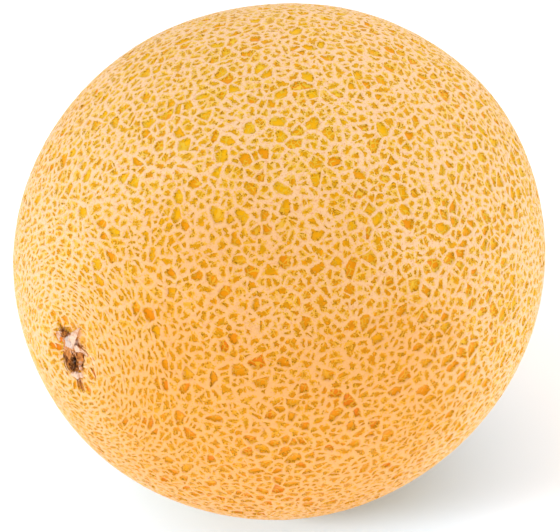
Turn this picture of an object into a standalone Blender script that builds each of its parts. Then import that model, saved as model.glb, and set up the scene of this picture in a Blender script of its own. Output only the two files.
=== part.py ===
"""A netted melon lying on its side, with the dry remnant of its stalk seated in the stem-end scar.

Metres, +Z up. The long axis lies along X with the stem end at -X. The origin is under the middle of
the fruit, on the surface that it rests on.
"""

import math

import bmesh
import bpy
from mathutils import Matrix, Vector

# The fruit: a prolate body of revolution, slightly longer than it is thick.
POLAR_LENGTH = 0.1537
EQUATOR_DIAMETER = 0.145
REST_SPOT_RADIUS = 0.012

# The stem-end scar: a shallow pit with a round seat in its middle.
PIT_RADIUS = 0.017
PIT_DEPTH = 0.0024
SEAT_RADIUS = 0.0056
SEAT_DEPTH = 0.0012

# The stalk's remnant, which sits in the seat.
REMNANT_CLEARANCE = 0.0003
REMNANT_HEIGHT = 0.0026
REMNANT_SHOULDER = 0.0012
HOLLOW_RADIUS = 0.0017
HOLLOW_DEPTH = 0.0011
HOLLOW_ANGLE = math.radians(153)
HOLLOW_OFFSET_SHARE = 0.8
FLAP_LENGTH = 0.0032
FLAP_TIP_SHARE = 0.45
FLAP_ANGLES = (math.radians(40), math.radians(85))
FLAP_SPREAD = math.radians(15)

# The blossom-end scar: a low round button opposite the stem.
BUTTON_RADIUS = 0.0045
BUTTON_RISE = 0.0004

# Broad swellings and dents, each with its direction round the long axis (0 is up, positive towards
# -Y), its angle from the stem end, its angular spread and its height as a share of the radius.
SWELLINGS = (
    (math.radians(-65), math.radians(55), math.radians(45), 0.005),
    (math.radians(-28), math.radians(104), math.radians(18), -0.010),
    (math.radians(28), math.radians(143), math.radians(17), 0.008),
    (math.radians(150), math.radians(77), math.radians(22), 0.007),
    (math.radians(-127), math.radians(35), math.radians(18), -0.007),
)

# Mesh resolution.
AROUND = 60
ALONG = 38
PIT_RINGS = 5
REMNANT_AROUND = 30
MERGE_DISTANCE = 1e-6

POLAR_SEMI_AXIS = POLAR_LENGTH / 2
EQUATOR_RADIUS = EQUATOR_DIAMETER / 2
LONG_AXIS = Vector((1, 0, 0))


def across(angle):
    """The direction out from the long axis at this angle round it: 0 is up, positive towards -Y."""
    return Vector((0, -math.sin(angle), math.cos(angle)))


def smoothstep(low, high, value):
    """0 below low, 1 above high, and a smooth rise between them."""
    share = min(1.0, max(0.0, (value - low) / (high - low)))
    return share * share * (3 - 2 * share)


def stem_side_x(radius):
    """Where the stem end's surface lies along X, at this distance from the long axis."""
    body = -POLAR_SEMI_AXIS * math.sqrt(1 - (radius / EQUATOR_RADIUS) ** 2)
    if radius >= PIT_RADIUS:
        return body
    return body + PIT_DEPTH * math.cos(math.pi / 2 * radius / PIT_RADIUS) ** 2


SEAT_FLOOR_X = stem_side_x(SEAT_RADIUS) + SEAT_DEPTH
REMNANT_FOOT_X = SEAT_FLOOR_X - REMNANT_CLEARANCE
REMNANT_RIM_X = REMNANT_FOOT_X - SEAT_DEPTH
REMNANT_CROWN_X = REMNANT_FOOT_X - REMNANT_HEIGHT
REMNANT_RADIUS = SEAT_RADIUS - REMNANT_CLEARANCE
CROWN_RADIUS = REMNANT_RADIUS - REMNANT_SHOULDER


def swelling(point):
    """The share by which the fruit's radius grows in this direction. The scar stays as it is."""
    scaled = Vector((point.x / POLAR_SEMI_AXIS, point.y / EQUATOR_RADIUS, point.z / EQUATOR_RADIUS))
    direction = scaled.normalized()
    total = 0.0
    for around, from_stem, spread, height in SWELLINGS:
        centre = -LONG_AXIS * math.cos(from_stem) + across(around) * math.sin(from_stem)
        total += height * math.exp(-((direction.angle(centre) / spread) ** 2))
    scar_angle = math.asin(PIT_RADIUS / EQUATOR_RADIUS)
    return total * smoothstep(scar_angle, 2 * scar_angle, direction.angle(-LONG_AXIS))


def spun(profile, steps):
    """A bmesh of this profile, given as (x, radius) pairs, turned once round the long axis."""
    bm = bmesh.new()
    verts = [bm.verts.new((x, 0, radius)) for x, radius in profile]
    edges = [bm.edges.new(pair) for pair in zip(verts, verts[1:])]
    bmesh.ops.spin(
        bm,
        geom=verts + edges,
        cent=(0, 0, 0),
        axis=LONG_AXIS,
        angle=2 * math.pi,
        steps=steps,
        use_merge=True,
    )
    bmesh.ops.remove_doubles(bm, verts=bm.verts, dist=MERGE_DISTANCE)
    bmesh.ops.recalc_face_normals(bm, faces=bm.faces)
    return bm


def body_profile():
    """The fruit's outline from the middle of the seat's floor to the blossom end."""
    points = [(SEAT_FLOOR_X, 0.0), (SEAT_FLOOR_X, SEAT_RADIUS)]
    for ring in range(PIT_RINGS):
        radius = SEAT_RADIUS + (PIT_RADIUS - SEAT_RADIUS) * ring / PIT_RINGS
        points.append((stem_side_x(radius), radius))
    first = math.asin(PIT_RADIUS / EQUATOR_RADIUS)
    last = math.pi - math.asin(BUTTON_RADIUS / EQUATOR_RADIUS)
    for ring in range(ALONG + 1):
        angle = first + (last - first) * ring / ALONG
        points.append((-POLAR_SEMI_AXIS * math.cos(angle), EQUATOR_RADIUS * math.sin(angle)))
    points.append((POLAR_SEMI_AXIS + BUTTON_RISE, BUTTON_RADIUS / 2))
    points.append((POLAR_SEMI_AXIS + BUTTON_RISE, 0.0))
    return points


def cut_rest_spot(bm):
    """Cuts the flat spot that the fruit rests on."""
    rest_z = -math.sqrt(EQUATOR_RADIUS**2 - REST_SPOT_RADIUS**2)
    cut = bmesh.ops.bisect_plane(
        bm,
        geom=bm.verts[:] + bm.edges[:] + bm.faces[:],
        plane_co=(0, 0, rest_z),
        plane_no=(0, 0, -1),
        clear_outer=True,
    )
    rim = [item for item in cut["geom_cut"] if isinstance(item, bmesh.types.BMEdge)]
    bmesh.ops.edgeloop_fill(bm, edges=rim)
    bmesh.ops.recalc_face_normals(bm, faces=bm.faces)


def make_body():
    bm = spun(body_profile(), AROUND)
    for vert in bm.verts:
        vert.co *= 1 + swelling(vert.co)
    cut_rest_spot(bm)
    return bm


def remnant_profile():
    """The remnant's outline from the middle of its foot, up its side and down into its hollow."""
    return [
        (REMNANT_FOOT_X, 0.0),
        (REMNANT_FOOT_X, REMNANT_RADIUS),
        (REMNANT_RIM_X, REMNANT_RADIUS),
        ((REMNANT_RIM_X + REMNANT_CROWN_X) / 2, REMNANT_RADIUS),
        (REMNANT_CROWN_X, CROWN_RADIUS),
        (REMNANT_CROWN_X, HOLLOW_RADIUS),
        (REMNANT_CROWN_X + HOLLOW_DEPTH, HOLLOW_RADIUS / 2),
        (REMNANT_CROWN_X + HOLLOW_DEPTH, 0.0),
    ]


def move_hollow(bm):
    """Shifts the hollow from the middle of the crown towards its rim."""
    offset = across(HOLLOW_ANGLE) * HOLLOW_OFFSET_SHARE * (CROWN_RADIUS - HOLLOW_RADIUS)
    for vert in bm.verts:
        on_crown = vert.co.x < (REMNANT_FOOT_X + REMNANT_CROWN_X) / 2
        if on_crown and math.hypot(vert.co.y, vert.co.z) < (CROWN_RADIUS + HOLLOW_RADIUS) / 2:
            vert.co += offset


def pull_flap(bm, angle):
    """Draws one dry flap of skin out of the remnant's side, above the seat, along the pit's slope."""
    outward = across(angle)
    slope_rise = stem_side_x(SEAT_RADIUS) - stem_side_x(REMNANT_RADIUS + FLAP_LENGTH)
    chosen = []
    for face in bm.faces:
        centre = face.calc_center_median()
        radial = Vector((0, centre.y, centre.z))
        on_side = abs(face.normal.dot(LONG_AXIS)) < 0.2 and centre.x < REMNANT_RIM_X
        if on_side and radial.angle(outward) < FLAP_SPREAD:
            chosen.append(face)
    pulled = bmesh.ops.extrude_face_region(bm, geom=chosen)
    tip = [item for item in pulled["geom"] if isinstance(item, bmesh.types.BMVert)]
    bmesh.ops.delete(bm, geom=chosen, context="FACES")
    bmesh.ops.translate(bm, verts=tip, vec=outward * FLAP_LENGTH - LONG_AXIS * max(0.0, slope_rise))
    centre = sum((vert.co for vert in tip), Vector()) / len(tip)
    for vert in tip:
        vert.co = centre + (vert.co - centre) * FLAP_TIP_SHARE


def make_remnant():
    bm = spun(remnant_profile(), REMNANT_AROUND)
    move_hollow(bm)
    for angle in FLAP_ANGLES:
        pull_flap(bm, angle)
    bmesh.ops.recalc_face_normals(bm, faces=bm.faces)
    return bm


def plain_material(name, colour, roughness):
    material = bpy.data.materials.new(name)
    material.use_nodes = True
    shader = material.node_tree.nodes["Principled BSDF"]
    shader.inputs["Base Color"].default_value = (*colour, 1)
    shader.inputs["Roughness"].default_value = roughness
    shader.inputs["Metallic"].default_value = 0
    return material


def add_object(name, bm, material):
    mesh = bpy.data.meshes.new(name)
    bm.to_mesh(mesh)
    bm.free()
    mesh.shade_smooth()
    mesh.set_sharp_from_angle(angle=math.radians(35))
    mesh.materials.append(material)
    obj = bpy.data.objects.new(name, mesh)
    bpy.context.scene.collection.objects.link(obj)
    return obj


def stand_on_origin(objects):
    """Moves all pieces together, so that the origin is under the middle of their common box."""
    corners = [vert.co for obj in objects for vert in obj.data.vertices]
    low = Vector(map(min, *corners))
    high = Vector(map(max, *corners))
    shift = Matrix.Translation((-(low.x + high.x) / 2, -(low.y + high.y) / 2, -low.z))
    for obj in objects:
        obj.data.transform(shift)


def main():
    for obj in list(bpy.data.objects):
        bpy.data.objects.remove(obj)
    melon = add_object("melon", make_body(), plain_material("rind", (0.90, 0.56, 0.20), 0.6))
    remnant = add_object("stem_remnant", make_remnant(), plain_material("dry_stalk", (0.55, 0.40, 0.27), 0.9))
    stand_on_origin([melon, remnant])


main()
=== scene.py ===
"""The looks of a netted melon: orange skin, a raised corky net, and a dry stalk remnant in its scar."""

import math
import random

import bmesh
import bpy
import numpy as np
from mathutils import Matrix, Vector, noise


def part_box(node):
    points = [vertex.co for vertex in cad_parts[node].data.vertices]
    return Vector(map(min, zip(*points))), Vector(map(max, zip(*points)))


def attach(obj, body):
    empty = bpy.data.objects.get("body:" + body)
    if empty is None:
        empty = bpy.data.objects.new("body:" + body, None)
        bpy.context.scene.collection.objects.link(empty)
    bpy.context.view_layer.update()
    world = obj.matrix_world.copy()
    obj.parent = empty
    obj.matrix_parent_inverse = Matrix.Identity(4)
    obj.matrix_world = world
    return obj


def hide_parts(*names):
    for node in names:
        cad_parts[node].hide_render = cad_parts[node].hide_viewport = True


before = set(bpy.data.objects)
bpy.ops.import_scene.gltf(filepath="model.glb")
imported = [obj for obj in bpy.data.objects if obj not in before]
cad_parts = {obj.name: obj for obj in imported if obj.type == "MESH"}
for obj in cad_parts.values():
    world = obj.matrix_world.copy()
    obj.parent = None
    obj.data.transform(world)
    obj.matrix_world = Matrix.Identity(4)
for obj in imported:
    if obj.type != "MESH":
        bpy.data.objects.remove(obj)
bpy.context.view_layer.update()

MM = 0.001
STEM_WARD = Vector((-1, 0, 0))

# Shape of the fruit, as in the CAD solid: lengths in metres, swellings as (direction round the long
# axis, angle from the stem end, spread, share of the radius).
POLAR_SEMI_AXIS = 76.85 * MM
EQUATOR_RADIUS = 72.5 * MM
REST_SPOT_RADIUS = 12 * MM
SEAT_RADIUS = 5.6 * MM
SEAT_DEPTH = 1.2 * MM
PIT_RADIUS = 17 * MM
PIT_DEPTH = 2.4 * MM
SWELLINGS = (
    (math.radians(-65), math.radians(55), math.radians(45), 0.005),
    (math.radians(-28), math.radians(104), math.radians(18), -0.010),
    (math.radians(28), math.radians(143), math.radians(17), 0.008),
    (math.radians(150), math.radians(77), math.radians(22), 0.007),
    (math.radians(-127), math.radians(35), math.radians(18), -0.007),
)
SCAR_ANGLE = math.asin(PIT_RADIUS / EQUATOR_RADIUS)

# The net, on a unit ball where it is a length or an area, and in metres where it says MM.
PRIMARY_SUBDIVISIONS = 5
SEED_JITTER = 0.036
CELL_AREA = 2.2e-3
CELL_AREA_SPREAD = 0.5
WIDEST_SPREAD = 1.1
SHORTEST_CUT_EDGE = 0.010
SPLIT_ATTEMPTS = 8
RELAXATION = 0.22
LONG_EDGE = 0.055
HALF_WIDTHS = (0.42 * MM, 0.35 * MM, 0.26 * MM, 0.19 * MM)
WIDTH_PATCH = 9.0
HALF_WIDTH_SPREAD = 0.24
LEVEL_STRENGTHS = (1.0, 0.9, 0.72, 0.5)
LAST_LEVEL = len(HALF_WIDTHS) - 1
SHOULDER_NET = 0.64
FOOT_NET = 0.34
DEEPEST_INSET = 0.72
SMALLEST_TURN = 2e-6
SLOPE_WIDTH = 0.3 * MM
SMALL_HOLE = 1.2 * MM
NET_RISE = 0.26 * MM
SKIN_DROP = 0.3 * MM
MEAN_RADIUS = 73.7 * MM

# The seed of the dry tissue's crumbling.
CRUMBLE_SEED = 3

# The middle of the fruit's painted shade, a deeper orange on its lower side that faces the camera, and how
# far from it the painted shade starts and stops to fade.
SHADED_SIDE = (-46 * MM, -53 * MM, 55 * MM)
SHADE_REACH = (28 * MM, 88 * MM)

# Steps of measuring and of unwrapping the ball.
NORMAL_STEP = 0.01
BALL_POINTS = 20000
UNWRAP_HALF_WIDTH = 0.48

# The stem scar's hollow and lump, in millimetres across and up from the scar's middle.
HOLLOW_PLACE = (1.3, -2.9)
HOLLOW_REACH = (1.45, 2.2)
LUMP_PLACE = (-0.2, 3.3)

# The camera, by its directions in degrees and its distance, and how far its aim lies left of and
# below the fruit's middle.
CAMERA_AZIMUTH = -40.9
CAMERA_ELEVATION = 30.66
CAMERA_DISTANCE = 0.9
CAMERA_LENS = 203.65
CAMERA_AIM = (0.24 * MM, 1.94 * MM)


def smoothstep(low, high, value):
    """0 below low, 1 above high, and a smooth rise between them."""
    share = np.clip((np.asarray(value, float) - low) / (high - low), 0, 1)
    return share * share * (3 - 2 * share)


# ---------------------------------------------------------------- the fruit's surface


def base_surface(directions):
    """Points of the smooth fruit for unit directions, about its own middle."""
    points = directions * np.array([POLAR_SEMI_AXIS, EQUATOR_RADIUS, EQUATOR_RADIUS])
    total = np.zeros(len(points))
    for around, from_stem, spread, height in SWELLINGS:
        centre = np.array([
            -math.cos(from_stem),
            -math.sin(around) * math.sin(from_stem),
            math.cos(around) * math.sin(from_stem),
        ])
        apart = np.arccos(np.clip(directions @ centre, -1, 1))
        total += height * np.exp(-((apart / spread) ** 2))
    from_pole = np.arccos(np.clip(-directions[:, 0], -1, 1))
    points *= (1 + total * smoothstep(SCAR_ANGLE, 2 * SCAR_ANGLE, from_pole))[:, None]
    radius = np.hypot(points[:, 1], points[:, 2])
    in_pit = (radius < PIT_RADIUS) & (directions[:, 0] < 0)
    sink = PIT_DEPTH * np.cos(math.pi / 2 * np.clip(radius / PIT_RADIUS, 0, 1)) ** 2
    points[:, 0] += np.where(in_pit, sink, 0)
    return points


def surface_normals(directions):
    """Outward normals of the smooth fruit, from small steps along its surface."""
    helper = np.where(np.abs(directions[:, :1]) > 0.9, [[0.0, 1.0, 0.0]], [[1.0, 0.0, 0.0]])
    side = np.cross(directions, helper)
    side /= np.linalg.norm(side, axis=1)[:, None]
    up = np.cross(side, directions)

    def moved(offset):
        shifted = directions + offset * NORMAL_STEP
        return base_surface(shifted / np.linalg.norm(shifted, axis=1)[:, None])

    normals = np.cross(moved(side) - moved(-side), moved(up) - moved(-up))
    normals /= np.linalg.norm(normals, axis=1)[:, None]
    outward = np.sign((normals * directions).sum(1))
    return normals * outward[:, None]


# ---------------------------------------------------------------- the net's cells, on a unit ball


def put_on_ball(verts):
    """Moves these vertices to the unit ball."""
    for vert in verts:
        vert.co.normalize()


def primary_cells(rng):
    """A unit ball whose faces are the widest meshes of the net: the dual of scattered seeds."""
    bm = bmesh.new()
    bmesh.ops.create_icosphere(bm, subdivisions=PRIMARY_SUBDIVISIONS, radius=1)
    bmesh.ops.delete(bm, geom=bm.faces[:] + bm.edges[:], context="EDGES_FACES")
    for vert in bm.verts:
        vert.co += Vector(rng.gauss(0, SEED_JITTER) for _ in range(3))
    put_on_ball(bm.verts)
    bmesh.ops.convex_hull(bm, input=bm.verts[:], use_existing_faces=False)
    seeds = bm.verts[:]
    seed_edges = bm.edges[:]
    bmesh.ops.poke(bm, faces=bm.faces[:])
    bmesh.ops.rotate_edges(bm, edges=seed_edges)
    bmesh.ops.dissolve_verts(bm, verts=seeds)
    put_on_ball(bm.verts)
    return bm


def stem_angle(direction):
    """The angle between this direction and the stem end's, seen from the fruit's middle."""
    return direction.angle(STEM_WARD)


def stretch_of(from_stem):
    """How much longer round the stem than towards it the cells grow here."""
    ringed = smoothstep(0.13, 0.20, from_stem) * (1 - smoothstep(0.34, 0.7, from_stem))
    return 1 + 1.2 * float(ringed) - 0.3 * float(1 - smoothstep(0.12, 0.18, from_stem))


def area_of(from_stem):
    """The area at which cells stop dividing, as a share of the usual one."""
    ringed = smoothstep(0.13, 0.20, from_stem) * (1 - smoothstep(0.3, 0.62, from_stem))
    return 1.0 - 0.42 * float(ringed)


def split_cell(bm, face, level, rng):
    """Divides a cell across its longest axis. Returns the new cell, or None if it can't be divided."""
    centre = face.calc_center_median()
    direction = centre.normalized()
    from_stem = stem_angle(direction)
    toward = (STEM_WARD - direction * STEM_WARD.dot(direction)).normalized()
    around = direction.cross(toward)
    stretch = stretch_of(from_stem)
    flat = [((v.co - centre).dot(around), (v.co - centre).dot(toward) * stretch) for v in face.verts]
    sxx = sum(x * x for x, y in flat)
    syy = sum(y * y for x, y in flat)
    sxy = sum(x * y for x, y in flat)
    axis = 0.5 * math.atan2(2 * sxy, sxx - syy) + rng.gauss(0, 0.25)
    reach = math.sqrt((sxx + syy) / len(flat))
    offset = rng.uniform(-0.32, 0.32) * reach
    along = [x * math.cos(axis) + y * math.sin(axis) - offset for x, y in flat]
    cuts = []
    for loop, here, there in zip(face.loops, along, along[1:] + along[:1]):
        if here * there < 0:
            cuts.append((loop.edge, loop.vert, min(0.78, max(0.22, here / (here - there)))))
    if len(cuts) != 2 or any(edge.calc_length() < SHORTEST_CUT_EDGE for edge, _, _ in cuts):
        return None
    ends = []
    for edge, vert, share in cuts:
        edge_level = edge[level]
        new_edge, new_vert = bmesh.utils.edge_split(edge, vert, share)
        new_edge[level] = edge_level
        edge[level] = edge_level
        ends.append(new_vert)
    new_face, new_loop = bmesh.utils.face_split(face, ends[0], ends[1])
    return new_face, new_loop.edge


def divide_cells(bm, rng):
    """Lets younger, thinner ridges grow across the wide cells, until each is near its own size."""
    level = bm.edges.layers.int.new("level")
    age = bm.faces.layers.int.new("age")
    waiting = bm.faces[:]
    while waiting:
        face = waiting.pop()
        share = area_of(stem_angle(face.calc_center_median()))
        spread = min(WIDEST_SPREAD, max(-WIDEST_SPREAD, rng.gauss(0, 1))) * CELL_AREA_SPREAD
        if face.calc_area() < CELL_AREA * share * math.exp(spread):
            continue
        for _ in range(SPLIT_ATTEMPTS):
            made = split_cell(bm, face, level, rng)
            if made:
                break
        if made is None:
            continue
        new_face, new_edge = made
        face[age] += 1
        new_face[age] = face[age]
        new_edge[level] = face[age]
        waiting += [face, new_face]


def relax(bm):
    """Moves every vertex a little towards its neighbours."""
    bmesh.ops.smooth_vert(
        bm, verts=bm.verts[:], factor=RELAXATION, use_axis_x=True, use_axis_y=True, use_axis_z=True
    )
    put_on_ball(bm.verts)


def bend_long_edges(bm, rng):
    """Gives each long ridge a middle vertex, a little to one side, so that it isn't straight."""
    level = bm.edges.layers.int["level"]
    for edge in bm.edges[:]:
        length = edge.calc_length()
        if length < LONG_EDGE:
            continue
        first, second = edge.verts
        sideways = (second.co - first.co).cross(first.co).normalized()
        edge_level = edge[level]
        new_edge, middle = bmesh.utils.edge_split(edge, first, rng.uniform(0.4, 0.6))
        new_edge[level] = edge_level
        edge[level] = edge_level
        middle.co += sideways * length * rng.gauss(0, 0.09)
        middle.co.normalize()


def width_share(from_stem):
    """How wide the ridges are here, as a share of their usual width."""
    young = float(1 - smoothstep(0.13, 0.19, from_stem))
    return 1 - 0.4 * young


def raise_net(bm, rng):
    """Insets each cell for its ridges' shoulders and feet, and marks how high every vertex lies.

    The vertices stay on the unit ball. The layer "net" is 1 on a ridge's crest and 0 in the middle of a
    cell, "relief" is the height over the smooth fruit in millimetres, "cork" how pale and corky the ridge
    is, "tone" a random value for each cell and "size" how wide the cell is.
    """
    width = bm.edges.layers.float.new("width")
    layers = {name: bm.verts.layers.float.new(name) for name in ("net", "relief", "cork", "tone", "size")}
    for edge in bm.edges:
        middle = (edge.verts[0].co + edge.verts[1].co) / 2
        share = width_share(stem_angle(middle)) * math.exp(rng.gauss(0, HALF_WIDTH_SPREAD))
        share *= 1 + 0.55 * noise.noise(middle * WIDTH_PATCH)
        edge[width] = HALF_WIDTHS[rank_of(edge, bm)] * share / MEAN_RADIUS
    for vert in bm.verts:
        strength = LEVEL_STRENGTHS[min(rank_of(edge, bm) for edge in vert.link_edges)]
        vert[layers["net"]] = 1
        vert[layers["cork"]] = strength
        vert[layers["tone"]] = 0.5
        vert[layers["size"]] = 0.5
        vert[layers["relief"]] = NET_RISE * (0.55 + 0.45 * strength) * rng.uniform(0.85, 1.1) / MM
    cells = bm.faces[:]
    bmesh.ops.inset_individual(bm, faces=cells, thickness=1e-4, use_even_offset=False)
    wide_cells = []
    for face in cells:
        if shape_shoulder(bm, face, width, layers, rng):
            wide_cells.append(face)
    bmesh.ops.inset_individual(bm, faces=wide_cells, thickness=1e-4, use_even_offset=False)
    for face in wide_cells:
        shape_foot(face, layers, rng)
    middles = bmesh.ops.poke(bm, faces=cells, center_mode="MEAN")["verts"]
    for vert in middles:
        ring = [edge.other_vert(vert) for edge in vert.link_edges]
        is_wide = ring[0][layers["net"]] < (SHOULDER_NET + FOOT_NET) / 2
        vert[layers["net"]] = 0.0 if is_wide else 0.12
        vert[layers["cork"]] = ring[0][layers["cork"]]
        vert[layers["tone"]] = ring[0][layers["tone"]] if is_wide else rng.random()
        vert[layers["size"]] = ring[0][layers["size"]] if is_wide else 0.0
        vert[layers["relief"]] = -SKIN_DROP / MM * (0.8 if is_wide else 0.55)
    put_on_ball(bm.verts)


def outer_neighbour(loop):
    """The vertex that this inset corner came from."""
    ring = (loop.edge, loop.link_loop_prev.edge)
    return next(edge.other_vert(loop.vert) for edge in loop.vert.link_edges if edge not in ring)


def flat_frame(face_verts):
    """A cell's middle and two directions across it, for drawing it flat."""
    centre = sum((vert.co for vert in face_verts), Vector()) / len(face_verts)
    direction = centre.normalized()
    side = direction.orthogonal().normalized()
    return centre, side, direction.cross(side)


def shape_shoulder(bm, face, width, layers, rng):
    """Places a cell's inset corners where its ridges' flat tops end. Says whether its floor is wide."""
    loops = face.loops[:]
    outer = [outer_neighbour(loop) for loop in loops]
    centre, side, up = flat_frame(outer)
    points = [Vector(((v.co - centre).dot(side), (v.co - centre).dot(up))) for v in outer]
    count = len(points)
    edges = [bm.edges.get((outer[i], outer[(i + 1) % count])) for i in range(count)]
    halves = [edge[width] for edge in edges]
    normals = []
    for i in range(count):
        along = (points[(i + 1) % count] - points[i]).normalized()
        normals.append(Vector((-along.y, along.x)))
    moved = []
    for i in range(count):
        before, after = normals[i - 1], normals[i]
        turn = before.x * after.y - before.y * after.x
        if turn > 0.25:
            a = before.dot(points[i]) + halves[i - 1]
            b = after.dot(points[i]) + halves[i]
            corner = Vector(((a * after.y - b * before.y) / turn, (b * before.x - a * after.x) / turn))
        else:
            corner = points[i] + (before + after).normalized() * (halves[i - 1] + halves[i]) / 2
        inward = -points[i]
        share = (corner - points[i]).dot(inward) / inward.length_squared
        if share > DEEPEST_INSET or (corner - points[i]).length > 0.85 * inward.length:
            corner = points[i] + inward * DEEPEST_INSET
        moved.append(corner)
    rounded = [0.92 * moved[i] + 0.04 * (moved[i - 1] + moved[(i + 1) % count]) for i in range(count)]
    middle = sum(rounded, Vector((0, 0))) / count
    if not runs_round(middle, rounded):
        middle = sum(points, Vector((0, 0))) / count
        rounded = [point.lerp(middle, 0.45) for point in points]
    for i, loop in enumerate(loops):
        vert = loop.vert
        vert.co = centre + side * rounded[i].x + up * rounded[i].y
        strength = sum(LEVEL_STRENGTHS[rank_of(edge, bm)] for edge in (edges[i], edges[i - 1])) / 2
        vert[layers["net"]] = SHOULDER_NET
        vert[layers["cork"]] = strength
        vert[layers["tone"]] = 0.5
        vert[layers["size"]] = 0.5
        vert[layers["relief"]] = NET_RISE / MM * (0.5 + 0.5 * strength) * rng.uniform(0.6, 0.8)
    reach = min((point - middle).length for point in rounded)
    return reach > SMALL_HOLE / MEAN_RADIUS


def runs_round(middle, ring):
    """Whether these points run once round the middle, with no fold."""
    arms = [point - middle for point in ring]
    turns = [before.x * after.y - before.y * after.x for before, after in zip(arms, arms[1:] + arms[:1])]
    return min(turns) > SMALLEST_TURN


def rank_of(edge, bm):
    """How young this ridge is, from 0 for the oldest ones."""
    return min(edge[bm.edges.layers.int["level"]], LAST_LEVEL)


def shape_foot(face, layers, rng):
    """Places the second inset's corners where the ridges' slopes meet the skin."""
    loops = face.loops[:]
    outer = [outer_neighbour(loop) for loop in loops]
    centre = sum((vert.co for vert in outer), Vector()) / len(outer)
    reach = sum((vert.co - centre).length for vert in outer) / len(outer)
    tone = rng.random()
    if stem_angle(centre) < 0.17:
        tone = 0.5 + 0.8 * tone
    size = min(1.0, reach * MEAN_RADIUS / (2.4 * MM))
    moved = []
    for vert in outer:
        inward = centre - vert.co
        share = min(0.5, SLOPE_WIDTH / MEAN_RADIUS / inward.length)
        moved.append(vert.co + inward * share)
    count = len(moved)
    for i, loop in enumerate(loops):
        vert = loop.vert
        vert.co = 0.9 * moved[i] + 0.05 * (moved[i - 1] + moved[(i + 1) % count])
        vert[layers["net"]] = FOOT_NET
        vert[layers["cork"]] = 0.5
        vert[layers["tone"]] = tone
        vert[layers["size"]] = size
        vert[layers["relief"]] = -SKIN_DROP / MM * rng.uniform(0.9, 1.05)


def shift_to_solid():
    """How far the CAD solid lies from the fruit's own middle, whose box is measured here."""
    low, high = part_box("melon")
    smooth = base_surface(ball_points())
    rest_z = -math.sqrt(EQUATOR_RADIUS**2 - REST_SPOT_RADIUS**2)
    middle = (smooth.max(0) + smooth.min(0)) / 2
    target = np.array([(low.x + high.x) / 2, (low.y + high.y) / 2, 0])
    return target - np.array([middle[0], middle[1], rest_z])


def ball_points():
    """Evenly spread unit directions."""
    index = np.arange(BALL_POINTS) + 0.5
    polar = np.arccos(1 - 2 * index / BALL_POINTS)
    around = math.pi * (1 + math.sqrt(5)) * index
    return np.stack([np.cos(polar), np.sin(polar) * np.cos(around), np.sin(polar) * np.sin(around)], 1)


SHIFT = shift_to_solid()


def place_on_fruit(mesh):
    """Takes the net from the unit ball to the fruit's surface, each vertex at its own height."""
    count = len(mesh.vertices)
    directions = np.empty(count * 3)
    mesh.vertices.foreach_get("co", directions)
    directions = directions.reshape(-1, 3)
    directions /= np.linalg.norm(directions, axis=1)[:, None]
    relief = np.empty(count)
    mesh.attributes["relief"].data.foreach_get("value", relief)
    relief *= MM
    points = base_surface(directions) + surface_normals(directions) * relief[:, None]
    from_axis = np.where(directions[:, 0] < 0, np.hypot(points[:, 1], points[:, 2]), EQUATOR_RADIUS)
    points[:, 0] += SEAT_DEPTH * (1 - smoothstep(0.85 * SEAT_RADIUS, SEAT_RADIUS, from_axis))
    points += SHIFT
    points[:, 2] = np.maximum(points[:, 2], np.maximum(NET_RISE - relief, 0))
    mesh.vertices.foreach_set("co", points.ravel())
    mesh.update()
    return directions


def unwrap_ball(mesh, directions):
    """Lays the ball out on one square, every part at its true share of the area, cut open underneath."""
    count = len(mesh.loops)
    corners = np.empty(count, int)
    mesh.loops.foreach_get("vertex_index", corners)
    sizes = np.empty(len(mesh.polygons), int)
    mesh.polygons.foreach_get("loop_total", sizes)
    face_of = np.repeat(np.arange(len(sizes)), sizes)
    totals = np.zeros((len(sizes), 3))
    np.add.at(totals, face_of, directions[corners])
    side = np.where(totals < 0, -1.0, 1.0)[face_of]
    folded = directions[corners] * side
    reach = np.sqrt(np.clip(1 - np.abs(folded[:, 2]), 0, 1))
    turn = np.arctan2(folded[:, 1], folded[:, 0]) * 2 / math.pi * reach
    square = np.stack([reach - turn, turn], 1)
    below = side[:, 2] < 0
    square[below] = 1 - square[below][:, ::-1]
    square *= side[:, :2]
    layer = mesh.uv_layers.new(name="OFBake")
    layer.data.foreach_set("uv", (0.5 + square * UNWRAP_HALF_WIDTH).ravel())


def make_object(name, bm, materials):
    mesh = bpy.data.meshes.new(name)
    bm.to_mesh(mesh)
    bm.free()
    mesh.shade_smooth()
    for material in materials:
        mesh.materials.append(material)
    obj = bpy.data.objects.new(name, mesh)
    bpy.context.scene.collection.objects.link(obj)
    return obj


def make_rind(material):
    rng = random.Random(7)
    bm = primary_cells(rng)
    divide_cells(bm, rng)
    relax(bm)
    bend_long_edges(bm, rng)
    raise_net(bm, rng)
    rind = make_object("rind", bm, [material])
    directions = place_on_fruit(rind.data)
    unwrap_ball(rind.data, directions)
    return rind


# ---------------------------------------------------------------- the scars at both ends

# Places on a scar are (across, up, rise): across is towards -Y at the stem end and towards +Y at the
# blossom end, and rise is out of the rind.


def seat_on_end(bm, end):
    """Takes a piece modelled on a flat plane to the stem end (-1) or the blossom end (1)."""
    across, up, rise = np.array([vert.co for vert in bm.verts]).T
    beside, above = end * across / EQUATOR_RADIUS, up / EQUATOR_RADIUS
    points = base_surface(np.stack([end * np.sqrt(1 - beside**2 - above**2), beside, above], 1))
    points[:, 0] += end * rise
    for vert, point in zip(bm.verts, points + SHIFT):
        vert.co = point


def crumble(bm, amount, wavelength):
    """Moves every vertex a little, as crumbly dry tissue does."""
    noise.seed_set(CRUMBLE_SEED)
    for vert in bm.verts:
        vert.co += noise.noise_vector(vert.co / wavelength) * amount


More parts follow.
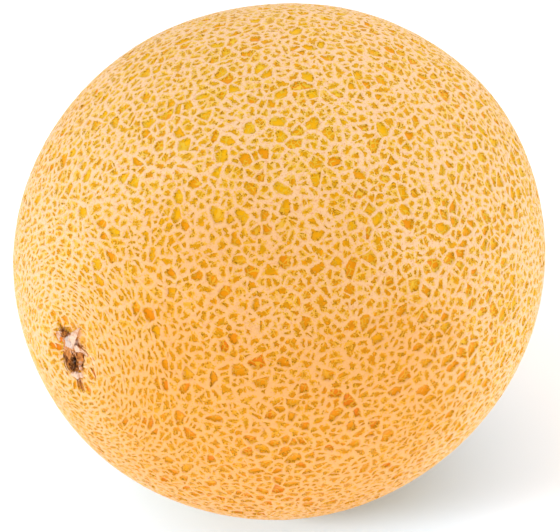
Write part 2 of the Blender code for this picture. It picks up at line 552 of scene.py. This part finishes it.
def tube(bm, path, radii, sides=6):
    """Adds a closed tapering tube along a path."""
    turns = [(after - before).to_track_quat("Z", "X") for before, after in zip(path, path[1:])]
    turns.append(turns[-1])
    frames = [
        Matrix.LocRotScale(point, turn, (radius, radius, radius))
        for point, turn, radius in zip(path, turns, radii)
    ]
    ring = bmesh.ops.create_circle(bm, segments=sides, radius=1, matrix=frames[0])["verts"]
    first = ring
    edges = list(dict.fromkeys(edge for vert in ring for edge in vert.link_edges))
    for before, after in zip(frames, frames[1:]):
        grown = bmesh.ops.extrude_edge_only(bm, edges=edges)["geom"]
        ring = [item for item in grown if isinstance(item, bmesh.types.BMVert)]
        edges = [edge for edge in grown if isinstance(edge, bmesh.types.BMEdge)]
        edges = [edge for edge in edges if all(vert in ring for vert in edge.verts)]
        bmesh.ops.transform(bm, matrix=after @ before.inverted(), verts=ring)
    bmesh.ops.pointmerge(bm, verts=ring, merge_co=path[-1])
    bmesh.ops.pointmerge(bm, verts=first, merge_co=path[0])


def wisp(bm, start, end, bow, thickness, rng, steps=5):
    """Adds one dry fibre between two places, bowed out of the rind."""
    start, end = Vector(start), Vector(end)
    sway = Vector((rng.gauss(0, 1), rng.gauss(0, 1), 0)) * (end - start).length * 0.09
    path = []
    radii = []
    for step in range(steps + 1):
        share = step / steps
        hump = 4 * share * (1 - share)
        path.append(start.lerp(end, share) + (Vector((0, 0, bow)) + sway) * hump)
        radii.append(thickness * (1 - 0.75 * share))
    tube(bm, path, radii, 5)


def leaf(bm, spine, widths, curl, thickness):
    """Adds a dry scrap of skin along a spine, its edges curled out of the rind."""
    made = bmesh.ops.create_grid(bm, x_segments=14, y_segments=6, size=1)["verts"]
    last = len(spine) - 1
    for vert in made:
        share = (vert.co.x + 1) / 2 * last
        index = min(int(share), last - 1)
        part = share - index
        along = (spine[index + 1] - spine[index]).normalized()
        sideways = Vector((-along.y, along.x, 0)).normalized()
        width = widths[index] * (1 - part) + widths[index + 1] * part
        middle = spine[index].lerp(spine[index + 1], part)
        edge = vert.co.y
        vert.co = middle + sideways * width * edge + Vector((0, 0, curl * edge * edge))
    faces = list(dict.fromkeys(face for vert in made for face in vert.link_faces))
    bmesh.ops.solidify(bm, geom=faces, thickness=thickness)


def points_of(*places):
    """Points from places in millimetres."""
    return [Vector(place) * MM for place in places]


def make_crust(material):
    """The crumbled stump of the stalk: a crusty lump above a torn hollow."""
    bm = bmesh.new()
    bmesh.ops.create_icosphere(bm, subdivisions=6, radius=1)
    hollow = bm.verts.layers.float.new("hollow")
    pale = bm.verts.layers.float.new("pale")
    for vert in bm.verts:
        across, up, rise = vert.co.x * 4.4 + 0.3, vert.co.y * 5.2, vert.co.z * 0.7 - 0.2
        lump = math.exp(-(((across - LUMP_PLACE[0]) / 2.5) ** 2) - ((up - LUMP_PLACE[1]) / 1.9) ** 2)
        ragged = noise.noise(Vector((across, up, 0)) * 1.3) * 0.45
        beside = (across - HOLLOW_PLACE[0]) / HOLLOW_REACH[0]
        above = (up - HOLLOW_PLACE[1]) / HOLLOW_REACH[1]
        apart = math.hypot(beside, above) + ragged
        depth = float(1 - smoothstep(0.45, 1.1, apart))
        lip = math.exp(-(((apart - 1.35) / 0.35) ** 2))
        if vert.co.z > 0:
            rise += 1.1 * lump + 0.35 * lip - 1.7 * depth
        # Where shade is painted inside the hollow.
        vert[hollow] = float(1 - smoothstep(0.6, 1.25, apart))
        vert[pale] = lump
        vert.co = Vector((across, up, rise)) * MM
    crumble(bm, 0.42 * MM, 1.5 * MM)
    crumble(bm, 0.2 * MM, 0.55 * MM)
    crumble(bm, 0.08 * MM, 0.22 * MM)
    seat_on_end(bm, -1)
    return make_object("stalk_crust", bm, [material])


def make_fibres(material):
    """Fibres torn out with the stalk: a fringe round the hollow, a tuft above and trailing threads."""
    rng = random.Random(11)
    bm = bmesh.new()
    for _ in range(90):
        turn = rng.uniform(0, 2 * math.pi)
        reach = rng.uniform(0.95, 1.55)
        across = HOLLOW_PLACE[0] + HOLLOW_REACH[0] * reach * math.sin(turn)
        up = HOLLOW_PLACE[1] + HOLLOW_REACH[1] * reach * math.cos(turn)
        start = Vector((across, up, 0.3)) * MM
        lean = Vector((rng.gauss(0.1, 0.3), rng.gauss(1.0, 0.9), rng.uniform(0.1, 0.7))) * MM
        wisp(bm, start, start + lean, 0.2 * MM, rng.uniform(0.08, 0.17) * MM, rng, 4)
    for _ in range(24):
        start = Vector((rng.uniform(-3.0, -0.6), rng.uniform(3.2, 4.8), rng.uniform(0.4, 1.0))) * MM
        end = start + Vector((rng.uniform(-2.6, -0.6), rng.uniform(1.2, 3.4), rng.uniform(-0.8, -0.2))) * MM
        wisp(bm, start, end, 0.3 * MM, rng.uniform(0.12, 0.24) * MM, rng)
    for _ in range(10):
        start = Vector((rng.uniform(2.0, 3.2), rng.uniform(-6.8, -5.6), 0.3)) * MM
        end = start + Vector((rng.uniform(1.8, 3.4), rng.uniform(-4.2, -2.4), 0)) * MM
        wisp(bm, start, end, 0.3 * MM, rng.uniform(0.1, 0.2) * MM, rng, 7)
    for _ in range(14):
        start = Vector((rng.uniform(-3.9, -3.0), rng.uniform(-2.6, -1.0), 0.3)) * MM
        end = Vector((rng.uniform(-0.6, 1.0), rng.uniform(-7.6, -6.0), 0.3)) * MM
        wisp(bm, start, end, 0.3 * MM, rng.uniform(0.1, 0.18) * MM, rng, 7)
    bmesh.ops.recalc_face_normals(bm, faces=bm.faces[:])
    seat_on_end(bm, -1)
    return make_object("stalk_fibres", bm, [material])


def make_torn_skin(material):
    """Pale dry scraps of skin that stand up beside the lump, and the torn tissue under the hollow."""
    bm = bmesh.new()
    leaf(
        bm,
        points_of((0.8, 3.2, 1.0), (2.0, 5.0, 1.2), (3.4, 7.2, 1.2), (4.7, 9.2, 0.9), (5.4, 10.4, 0.6)),
        (1.1 * MM, 1.25 * MM, 1.05 * MM, 0.6 * MM, 0.12 * MM),
        0.3 * MM,
        0.22 * MM,
    )
    leaf(
        bm,
        points_of((1.8, 2.0, 0.7), (3.4, 2.9, 0.9), (5.4, 3.4, 0.8), (7.2, 3.2, 0.6), (8.4, 2.6, 0.4)),
        (1.1 * MM, 0.95 * MM, 0.7 * MM, 0.5 * MM, 0.15 * MM),
        0.25 * MM,
        0.2 * MM,
    )
    leaf(
        bm,
        points_of((-2.8, 4.6, 0.6), (-4.2, 4.2, 0.7), (-4.9, 2.8, 0.6), (-4.7, 1.2, 0.4)),
        (0.7 * MM, 0.8 * MM, 0.6 * MM, 0.15 * MM),
        0.25 * MM,
        0.2 * MM,
    )
    scraps = ((2.7, -6.1, 1.3), (4.2, -5.4, 0.9), (1.2, -6.6, 0.8), (3.6, -7.2, 0.8), (4.3, -3.4, 0.7))
    for across, up, size in scraps:
        place = Matrix.Translation(Vector((across, up, 0.25)) * MM)
        flatten = Matrix.Diagonal((1.15, 0.85, 0.5, 1))
        bmesh.ops.create_icosphere(bm, subdivisions=3, radius=size * MM, matrix=place @ flatten)
    crumble(bm, 0.3 * MM, 1.4 * MM)
    crumble(bm, 0.12 * MM, 0.5 * MM)
    bmesh.ops.recalc_face_normals(bm, faces=bm.faces[:])
    seat_on_end(bm, -1)
    return make_object("torn_skin", bm, [material])


def make_scar_ridges(material):
    """Thick pale ridges of cork that curve round the stem scar."""
    arcs = (
        ((4.6, 3.4), (6.6, 3.9), (8.8, 3.3), (10.6, 1.8), (11.8, -0.2)),
        ((4.9, -2.4), (6.8, -1.6), (9.0, -1.9), (10.8, -3.2)),
        ((3.8, -6.0), (5.8, -4.8), (8.2, -4.5), (10.8, -5.4)),
        ((-5.0, 7.2), (-7.2, 5.4), (-8.2, 2.8), (-7.9, 0.2), (-6.6, -2.2)),
        ((-5.6, -3.6), (-4.6, -6.4), (-2.2, -8.4), (0.8, -9.0)),
    )
    bm = bmesh.new()
    for arc in arcs:
        path = smooth_path([Vector((across, up, 0.1)) * MM for across, up in arc], 4)
        last = len(path) - 1
        humps = [math.sin(math.pi * index / last) for index in range(last + 1)]
        radii = [(0.1 + 0.5 * hump**0.8) * MM for hump in humps]
        tube(bm, path, radii, 8)
    bmesh.ops.scale(bm, vec=(1, 1, 0.4), verts=bm.verts[:])
    crumble(bm, 0.4 * MM, 1.3 * MM)
    crumble(bm, 0.14 * MM, 0.4 * MM)
    bmesh.ops.recalc_face_normals(bm, faces=bm.faces[:])
    seat_on_end(bm, -1)
    return make_object("scar_ridges", bm, [material])


def smooth_path(points, parts):
    """More points along a smooth curve through these."""
    path = []
    ends = [points[0] * 2 - points[1]] + points + [points[-1] * 2 - points[-2]]
    for before, here, there, after in zip(ends, ends[1:], ends[2:], ends[3:]):
        for step in range(parts):
            t = step / parts
            path.append(
                0.5 * (
                    2 * here
                    + (there - before) * t
                    + (2 * before - 5 * here + 4 * there - after) * t * t
                    + (3 * here - before - 3 * there + after) * t**3
                )
            )
    path.append(points[-1])
    return path


def make_blossom_scar(material):
    """The low corky button where the flower was."""
    bm = bmesh.new()
    bmesh.ops.create_icosphere(bm, subdivisions=5, radius=1)
    for vert in bm.verts:
        across, up, rise = vert.co.x * 4.4, vert.co.y * 4.4, vert.co.z * 0.45
        apart = math.hypot(across, up)
        if vert.co.z > 0:
            rise += 0.16 * math.cos(apart * 4.2) - 0.12 * math.exp(-((apart / 0.8) ** 2))
        vert.co = Vector((across, up, rise)) * MM
    crumble(bm, 0.3 * MM, 1.6 * MM)
    crumble(bm, 0.12 * MM, 0.5 * MM)
    seat_on_end(bm, 1)
    return make_object("blossom_scar", bm, [material])


# ---------------------------------------------------------------- materials


def tint(red, green, blue):
    """A colour from its display values, each 0 to 255."""
    colour = []
    for share in (red / 255, green / 255, blue / 255):
        colour.append(share / 12.92 if share < 0.04045 else ((share + 0.055) / 1.055) ** 2.4)
    return (*colour, 1)


class Shading:
    """Short ways to add nodes to a material or to a node group."""

    def __init__(self, tree):
        self.tree = tree

    def feed(self, socket, value):
        if isinstance(value, bpy.types.NodeSocket):
            self.tree.links.new(value, socket)
        else:
            socket.default_value = value

    def node(self, kind, inputs, **settings):
        node = self.tree.nodes.new("ShaderNode" + kind)
        for name, value in settings.items():
            setattr(node, name, value)
        for name, value in inputs.items():
            self.feed(node.inputs[name], value)
        return node

    def layer(self, name):
        """The value of one of the piece's own vertex layers."""
        return self.node("Attribute", {}, attribute_name=name).outputs["Fac"]

    def place(self):
        return self.node("TexCoord", {}).outputs["Object"]

    def maths(self, operation, first, second=0.0):
        return self.node("Math", {0: first, 1: second}, operation=operation).outputs[0]

    def times(self, first, second):
        return self.maths("MULTIPLY", first, second)

    def plus(self, first, second):
        return self.maths("ADD", first, second)

    def opposite(self, value):
        return self.maths("SUBTRACT", 1.0, value)

    def larger(self, first, second):
        return self.maths("MAXIMUM", first, second)

    def fade(self, value, low, high):
        """A smooth rise from 0 to 1 between two values."""
        limits = {"Value": value, "From Min": low, "From Max": high}
        return self.node("MapRange", limits, interpolation_type="SMOOTHSTEP").outputs["Result"]

    def mix(self, share, first, second):
        return self.node("Mix", {0: share, 6: first, 7: second}, data_type="RGBA").outputs[2]

    def noise(self, vector, wavelength, detail=2.0, roughness=0.5):
        inputs = {"Vector": vector, "Scale": 1 / wavelength, "Detail": detail, "Roughness": roughness}
        return self.node("TexNoise", inputs).outputs["Fac"]

    def wander(self, value, amount):
        """Noise about zero, at most this far either way."""
        return self.times(self.maths("SUBTRACT", value, 0.5), 2 * amount)


def new_material(name):
    """A material, ways to add nodes to it, and its shader."""
    material = bpy.data.materials.new(name)
    material.use_nodes = True
    return material, Shading(material.node_tree), material.node_tree.nodes["Principled BSDF"]


def new_group(name, inputs, outputs):
    """A node group with these sockets. Returns it, ways to add nodes, and its inner sockets."""
    group = bpy.data.node_groups.new(name, "ShaderNodeTree")
    for side, sockets in (("INPUT", inputs), ("OUTPUT", outputs)):
        for label, kind in sockets:
            group.interface.new_socket(label, in_out=side, socket_type="NodeSocket" + kind)
    given = group.nodes.new("NodeGroupInput").outputs
    result = group.nodes.new("NodeGroupOutput").inputs
    return group, Shading(group), given, result


def corky_grain():
    """A node group that mixes two tones by fine grain and small pits, and gives the grain's height."""
    group, shading, given, result = new_group(
        "corky_grain",
        (("Place", "Vector"), ("Scale", "Float"), ("Light", "Color"), ("Dark", "Color")),
        (("Color", "Color"), ("Height", "Float")),
    )
    spots = {"Vector": given["Place"], "Scale": given["Scale"]}
    grain = shading.node("TexNoise", {**spots, "Detail": 3.0, "Roughness": 0.65}).outputs["Fac"]
    pits = shading.node("TexVoronoi", spots).outputs["Distance"]
    pitted = shading.opposite(shading.fade(pits, 0.1, 0.3))
    dark = shading.larger(shading.fade(grain, 0.5, 0.72), shading.times(pitted, 0.6))
    shading.feed(result["Color"], shading.mix(dark, given["Light"], given["Dark"]))
    shading.feed(result["Height"], shading.maths("SUBTRACT", grain, shading.times(pitted, 0.5)))
    return group


def dry_blotches():
    """A node group that mixes two tones in soft blotches, from one to the other between two limits."""
    group, shading, given, result = new_group(
        "dry_blotches",
        (
            ("Place", "Vector"),
            ("Scale", "Float"),
            ("Low", "Float"),
            ("High", "Float"),
            ("First", "Color"),
            ("Second", "Color"),
        ),
        (("Color", "Color"),),
    )
    inputs = {"Vector": given["Place"], "Scale": given["Scale"], "Detail": 2.0, "Roughness": 0.5}
    blotch = shading.node("TexNoise", inputs).outputs["Fac"]
    share = shading.fade(blotch, given["Low"], given["High"])
    shading.feed(result["Color"], shading.mix(share, given["First"], given["Second"]))
    return group


def add_group(shading, group, values):
    """Places a node group in a material with these values. Returns its outputs."""
    node = shading.tree.nodes.new("ShaderNodeGroup")
    node.node_tree = group
    for name, value in values.items():
        shading.feed(node.inputs[name], value)
    return node.outputs


def add_grain(shading, grain, place, wavelength, light, dark):
    """The colour and the height of corky grain at this scale."""
    values = {"Place": place, "Scale": 1 / wavelength, "Light": light, "Dark": dark}
    outputs = add_group(shading, grain, values)
    return outputs["Color"], outputs["Height"]


def add_blotches(shading, blotches, place, wavelength, limits, first, second):
    """Two tones in blotches at this scale."""
    values = {
        "Place": place,
        "Scale": 1 / wavelength,
        "Low": limits[0],
        "High": limits[1],
        "First": first,
        "Second": second,
    }
    return add_group(shading, blotches, values)["Color"]


def rind_material(corky):
    """Orange-yellow skin with an olive edge beside each ridge, and a pale, corky, grainy net."""
    material, shading, shader = new_material("netted_rind")
    place = shading.place()
    net = shading.layer("net")
    cork = shading.layer("cork")
    tone = shading.layer("tone")
    size = shading.layer("size")
    ragged = shading.wander(shading.noise(place, 1.2 * MM, 2.0), 0.8)
    frayed = shading.wander(shading.noise(place, 0.55 * MM, 1.0), 0.42)
    grown = shading.plus(shading.plus(net, ragged), frayed)

    # Thin young ridges that cross some of the cells.
    drift = shading.node("TexNoise", {"Vector": place, "Scale": 1 / (2.5 * MM), "Detail": 1.0})
    bend = shading.node("VectorMath", {0: drift.outputs["Color"], 1: (0.5, 0.5, 0.5)}, operation="SUBTRACT")
    bent = shading.node(
        "VectorMath", {0: bend.outputs[0], 1: (1.6 * MM,) * 3, 2: place}, operation="MULTIPLY_ADD"
    )
    crack = shading.node(
        "TexVoronoi", {"Vector": bent.outputs[0], "Scale": 1 / (1.9 * MM)}, feature="DISTANCE_TO_EDGE"
    )
    thin = shading.opposite(shading.fade(crack.outputs["Distance"], 0.04, 0.17))
    chance = shading.plus(shading.noise(place, 3.1 * MM, 1.0), shading.times(size, 0.14))
    thin = shading.times(thin, shading.fade(chance, 0.48, 0.58))
    ridge = shading.larger(grown, shading.times(thin, 0.56))

    # Painted shade: the lower side that faces the camera is painted a deeper orange all over, skin and net.
    apart = shading.node("VectorMath", {0: place, 1: SHADED_SIDE}, operation="DISTANCE").outputs["Value"]
    patch = shading.noise(place, 26 * MM, 2.0)
    reach = shading.plus(apart, shading.wander(patch, 24 * MM))
    painted_shade = shading.opposite(shading.fade(reach, *SHADE_REACH))

    # Skin, a deeper orange in the painted shade.
    tone_and_shade = shading.plus(shading.wander(patch, 0.45), shading.times(painted_shade, 0.3))
    tone_and_shade = shading.plus(shading.times(tone, 0.6), tone_and_shade)
    skin = shading.mix(shading.fade(tone_and_shade, 0.0, 0.62), tint(252, 190, 0), tint(248, 158, 0))
    skin = shading.mix(shading.fade(tone_and_shade, 0.62, 0.95), skin, tint(240, 124, 0))
    skin = shading.mix(shading.times(painted_shade, 0.4), skin, tint(232, 134, 0))
    small = shading.opposite(shading.fade(size, 0.08, 0.42))
    skin = shading.mix(shading.times(small, 0.55), skin, tint(206, 146, 0))
    edge = shading.times(shading.fade(grown, 0.2, 0.38), shading.fade(net, 0.08, 0.3))
    edge = shading.times(edge, shading.noise(place, 1.7 * MM, 1.0))
    skin = shading.mix(shading.fade(edge, 0.34, 0.62), skin, tint(184, 122, 0))

    # Cork, its slopes and crests a deeper orange in the painted shade.
    old = shading.plus(cork, shading.wander(shading.noise(place, 4 * MM, 2.0), 0.3))
    slope = shading.mix(shading.fade(old, 0.3, 0.9), tint(251, 205, 44), tint(251, 201, 80))
    slope = shading.mix(painted_shade, slope, tint(244, 172, 44))
    crest = shading.mix(shading.fade(old, 0.3, 1.0), tint(251, 203, 116), tint(253, 212, 168))
    crest = shading.mix(painted_shade, crest, tint(248, 184, 112))
    rough = shading.mix(shading.fade(old, 0.3, 1.0), tint(240, 162, 50), tint(240, 170, 114))
    crest, grain = add_grain(shading, corky, place, 0.6 * MM, crest, rough)
    colour = shading.mix(shading.fade(ridge, 0.42, 0.5), skin, slope)
    colour = shading.mix(shading.fade(ridge, 0.54, 0.76), colour, crest)
    shading.feed(shader.inputs["Base Color"], colour)

    roughness = shading.plus(0.42, shading.times(shading.fade(ridge, 0.4, 0.6), 0.35))
    shading.feed(shader.inputs["Roughness"], roughness)
    shader.inputs["Specular IOR Level"].default_value = 0.1
    shader.inputs["Sheen Weight"].default_value = 0.2
    shader.inputs["Sheen Roughness"].default_value = 0.4
    height = shading.plus(shading.fade(ridge, 0.3, 0.6), shading.times(grain, 0.22))
    bump = shading.node("Bump", {"Height": height, "Distance": 0.16 * MM, "Strength": 0.8})
    shading.feed(shader.inputs["Normal"], bump.outputs["Normal"])
    return material


def finish_dry(shading, shader, colour, height, depth):
    """A dry, matte, rough surface in this colour."""
    shading.feed(shader.inputs["Base Color"], colour)
    shading.feed(shader.inputs["Roughness"], shading.plus(0.78, shading.times(height, 0.15)))
    shader.inputs["Specular IOR Level"].default_value = 0.2
    bump = shading.node("Bump", {"Height": height, "Distance": depth, "Strength": 0.9})
    shading.feed(shader.inputs["Normal"], bump.outputs["Normal"])


def crust_material(corky):
    """Grey-white crust over brown dead tissue, with painted shade, almost black, inside the hollow."""
    material, shading, shader = new_material("stalk_crust")
    place = shading.place()
    white, height = add_grain(shading, corky, place, 0.5 * MM, tint(226, 204, 192), tint(190, 154, 134))
    brown, _ = add_grain(shading, corky, place, 0.7 * MM, tint(222, 146, 74), tint(150, 84, 34))
    blotch = shading.plus(shading.layer("pale"), shading.wander(shading.noise(place, 1.6 * MM, 2.0), 1.2))
    colour = shading.mix(shading.fade(blotch, 0.05, 0.5), brown, white)
    # Painted shade: almost black inside the torn hollow.
    hollow_shade = shading.plus(shading.layer("hollow"), shading.wander(shading.noise(place, 0.7 * MM, 1.0), 0.5))
    colour = shading.mix(shading.fade(hollow_shade, 0.2, 0.8), colour, tint(46, 26, 14))
    finish_dry(shading, shader, colour, height, 0.12 * MM)
    return material


def fibre_material(blotches):
    """Fibres from straw orange to dark brown, streaked."""
    material, shading, shader = new_material("stalk_fibres")
    place = shading.place()
    dark, straw = tint(104, 58, 28), tint(216, 136, 62)
    colour = add_blotches(shading, blotches, place, 1.3 * MM, (0.38, 0.62), dark, straw)
    streak = shading.noise(place, 0.25 * MM, 2.0)
    colour = shading.mix(shading.fade(streak, 0.45, 0.7), colour, tint(64, 36, 20))
    finish_dry(shading, shader, colour, streak, 0.06 * MM)
    return material


def torn_skin_material(corky, blotches):
    """Pale pinkish scraps with browner blotches."""
    material, shading, shader = new_material("torn_skin")
    place = shading.place()
    pale, height = add_grain(shading, corky, place, 0.6 * MM, tint(240, 208, 184), tint(224, 176, 146))
    brown, _ = add_grain(shading, corky, place, 0.6 * MM, tint(218, 158, 116), tint(168, 106, 68))
    colour = add_blotches(shading, blotches, place, 2.2 * MM, (0.5, 0.68), pale, brown)
    finish_dry(shading, shader, colour, height, 0.08 * MM)
    return material


def cork_material(corky, blotches):
    """Pale peach cork, as on the net, for the ridges and the button at the two ends."""
    material, shading, shader = new_material("scar_cork")
    place = shading.place()
    peach, height = add_grain(shading, corky, place, 0.6 * MM, tint(253, 214, 168), tint(244, 186, 130))
    tan, _ = add_grain(shading, corky, place, 0.8 * MM, tint(246, 196, 106), tint(222, 156, 74))
    colour = add_blotches(shading, blotches, place, 2.4 * MM, (0.52, 0.68), peach, tan)
    finish_dry(shading, shader, colour, height, 0.1 * MM)
    return material


# ---------------------------------------------------------------- camera, light and floor


def add_camera(centre):
    """The camera, level and to the front left of the fruit, looking down on it."""
    data = bpy.data.cameras.new("camera")
    data.sensor_width = 36
    data.lens = CAMERA_LENS
    camera = bpy.data.objects.new("camera", data)
    bpy.context.scene.collection.objects.link(camera)
    azimuth, elevation = math.radians(CAMERA_AZIMUTH), math.radians(CAMERA_ELEVATION)
    right = Vector((math.cos(azimuth), math.sin(azimuth), 0))
    back = Vector((
        math.sin(azimuth) * math.cos(elevation),
        -math.cos(azimuth) * math.cos(elevation),
        math.sin(elevation),
    ))
    left, down = CAMERA_AIM
    camera.location = centre - right * left - back.cross(right) * down + back * CAMERA_DISTANCE
    camera.rotation_mode = "QUATERNION"
    camera.rotation_quaternion = (-back).to_track_quat("-Z", "Y")
    bpy.context.scene.camera = camera


def add_light(name, location, target, size, power):
    """A square area light that faces the target."""
    data = bpy.data.lights.new(name, "AREA")
    data.energy = power
    data.size = size
    light = bpy.data.objects.new(name, data)
    bpy.context.scene.collection.objects.link(light)
    light.location = location
    light.rotation_mode = "QUATERNION"
    light.rotation_quaternion = (target - location).to_track_quat("-Z", "Y")
    return light


def add_stage():
    """A plain pale floor under an even sky. Near the fruit the floor is painted a little cooler, to cancel
    the warm light that the fruit throws onto it.
    """
    bm = bmesh.new()
    bmesh.ops.create_grid(bm, x_segments=1, y_segments=1, size=6)
    material, shading, shader = new_material("pale_floor")
    apart = shading.node("VectorMath", {0: shading.place()}, operation="LENGTH").outputs["Value"]
    # Painted light: a cooler colour near the fruit cancels the warm light the fruit throws onto the floor.
    near = shading.opposite(shading.fade(apart, 40 * MM, 110 * MM))
    colour = shading.mix(near, (0.8, 0.8, 0.8, 1), (0.62, 0.76, 0.92, 1))
    shading.feed(shader.inputs["Base Color"], colour)
    shader.inputs["Roughness"].default_value = 0.9
    shader.inputs["Specular IOR Level"].default_value = 0
    shader.inputs["Emission Color"].default_value = (1, 1, 1, 1)
    shader.inputs["Emission Strength"].default_value = 0.15
    floor = make_object("floor", bm, [material])
    world = bpy.data.worlds.new("world")
    bpy.context.scene.world = world
    world.use_nodes = True
    world.node_tree.nodes["Background"].inputs["Color"].default_value = (1, 1, 1, 1)
    world.node_tree.nodes["Background"].inputs["Strength"].default_value = 0.66
    return floor


def light_only(light, name, objects):
    """Makes a light fall on these objects and on nothing else."""
    lit = bpy.data.collections.new(name)
    for obj in objects:
        lit.objects.link(obj)
    light.light_linking.receiver_collection = lit


def add_lights(centre, fruit, floor):
    """Soft light: the fruit's from the upper left and the right, the floor's from above and the left."""
    key = add_light("key", centre + Vector((-0.7, 0.45, 1.25)), centre, 0.6, 6.6)
    fill = add_light("fill", centre + Vector((0.9, -0.55, 0.5)), centre, 0.9, 5)
    above = add_light("above", centre + Vector((0, 0, 1.23)), centre, 3, 25)
    beside = add_light("beside", centre + Vector((-1.52, 0.26, 0.43)), centre, 0.42, 37)
    for light in (key, fill):
        light_only(light, "lit_fruit", fruit)
    for light in (above, beside):
        light_only(light, "lit_floor", [floor])


corky = corky_grain()
blotches = dry_blotches()
cork = cork_material(corky, blotches)
pieces = (
    (make_rind(rind_material(corky)), "melon", "rind"),
    (make_crust(crust_material(corky)), "stem_remnant", "dry_stalk"),
    (make_fibres(fibre_material(blotches)), None, "dry_stalk"),
    (make_torn_skin(torn_skin_material(corky, blotches)), None, "dry_stalk"),
    (make_scar_ridges(cork), None, "rind"),
    (make_blossom_scar(cork), None, "rind"),
)
for piece, node, slot in pieces:
    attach(piece, "root")
    if node:
        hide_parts(node)
centre = Vector((0, 0, math.sqrt(EQUATOR_RADIUS**2 - REST_SPOT_RADIUS**2)))
add_camera(centre)
floor = add_stage()
add_lights(centre, [piece for piece, _, _ in pieces], floor)
bpy.context.scene.view_settings.view_transform = "Standard"
